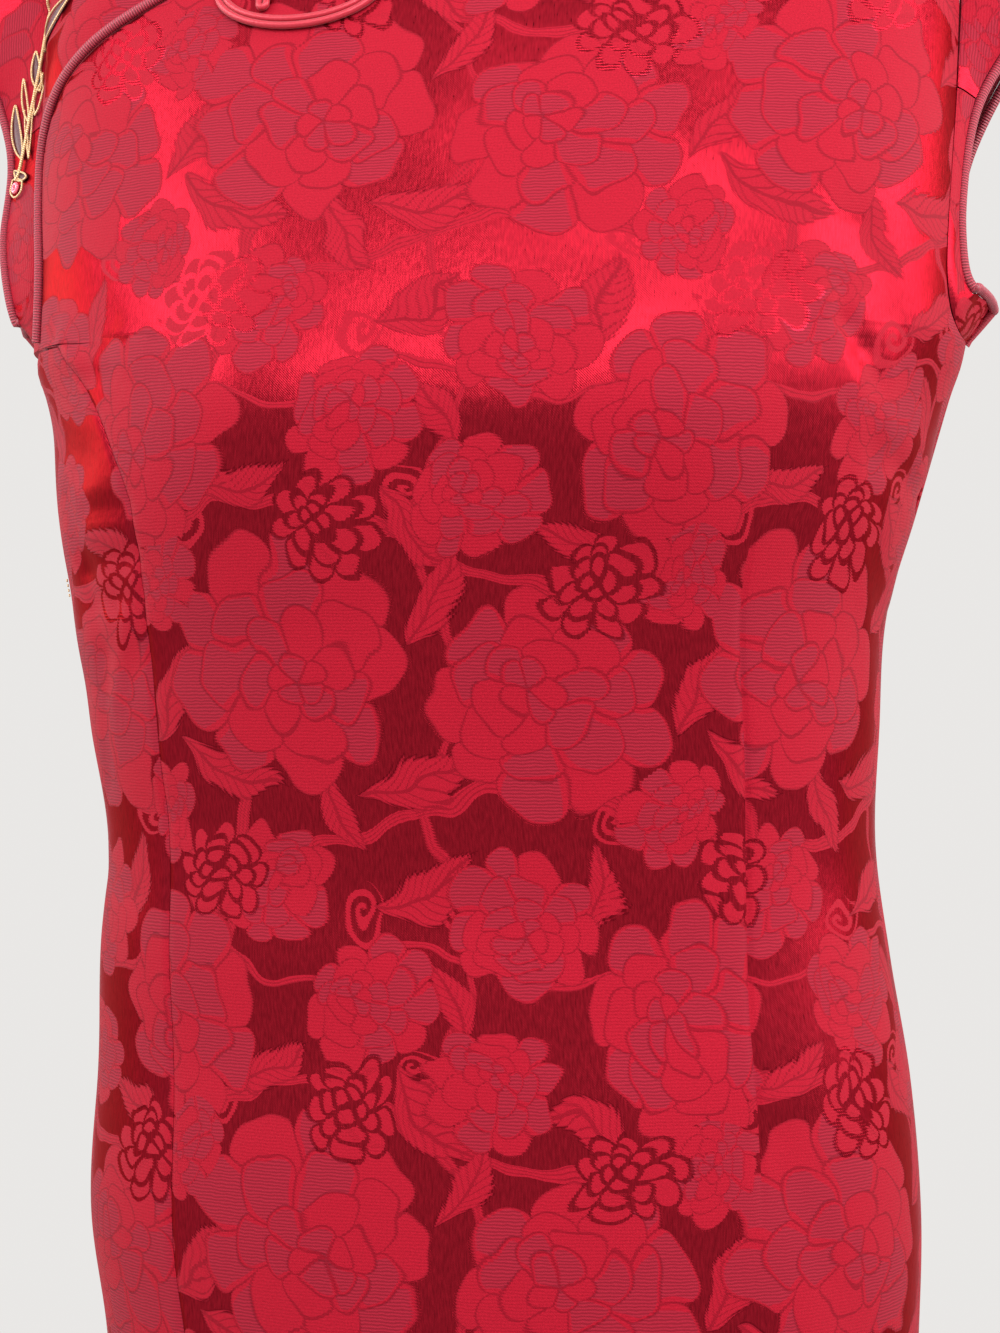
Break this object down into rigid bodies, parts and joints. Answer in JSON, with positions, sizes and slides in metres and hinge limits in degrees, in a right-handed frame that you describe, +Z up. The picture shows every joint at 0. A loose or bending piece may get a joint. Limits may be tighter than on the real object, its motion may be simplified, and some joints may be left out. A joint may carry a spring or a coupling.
{
  "type": "cheongsam dress",
  "caption": "Fitted knee-length dress with a stand collar, short cap sleeves, a curved corded opening on the wearer's right, satin-tube frogs and side slits, filled out as worn.",
  "frame": {"origin": "midway between the shoulders, level with the sides of the neck, where the wearer's shoulders hold the dress", "axes": "+Z up along the wearer, -Y the front, +X the wearer's left"},
  "size_m": [0.476, 0.2261, 1.0602],
  "materials": {
    "brocade": "two-tone red satin damask, glossy ground and matt woven flowers",
    "corded_satin": "red ribbed silk wrapped over a cord",
    "satin_tube": "glossy red satin tube"
  },
  "bodies": {
    "root": {"front_main": "brocade", "front_side_right": "brocade", "front_under": "brocade", "back": "brocade", "cap_left": "brocade", "cap_right": "brocade", "armhole_band_left": "brocade", "armhole_band_right": "brocade", "collar": "brocade", "collar_piping": "corded_satin", "opening_piping": "corded_satin", "sleeve_piping_left": "corded_satin", "sleeve_piping_right": "corded_satin", "frog_chest_ring": "satin_tube", "frog_chest_stem": "satin_tube", "frog_chest_mate": "satin_tube", "frog_chest_knot": "satin_tube", "frog_collar_bar_left": "satin_tube", "frog_collar_bar_right": "satin_tube", "frog_collar_knot": "satin_tube"}
  },
  "joints": []
}
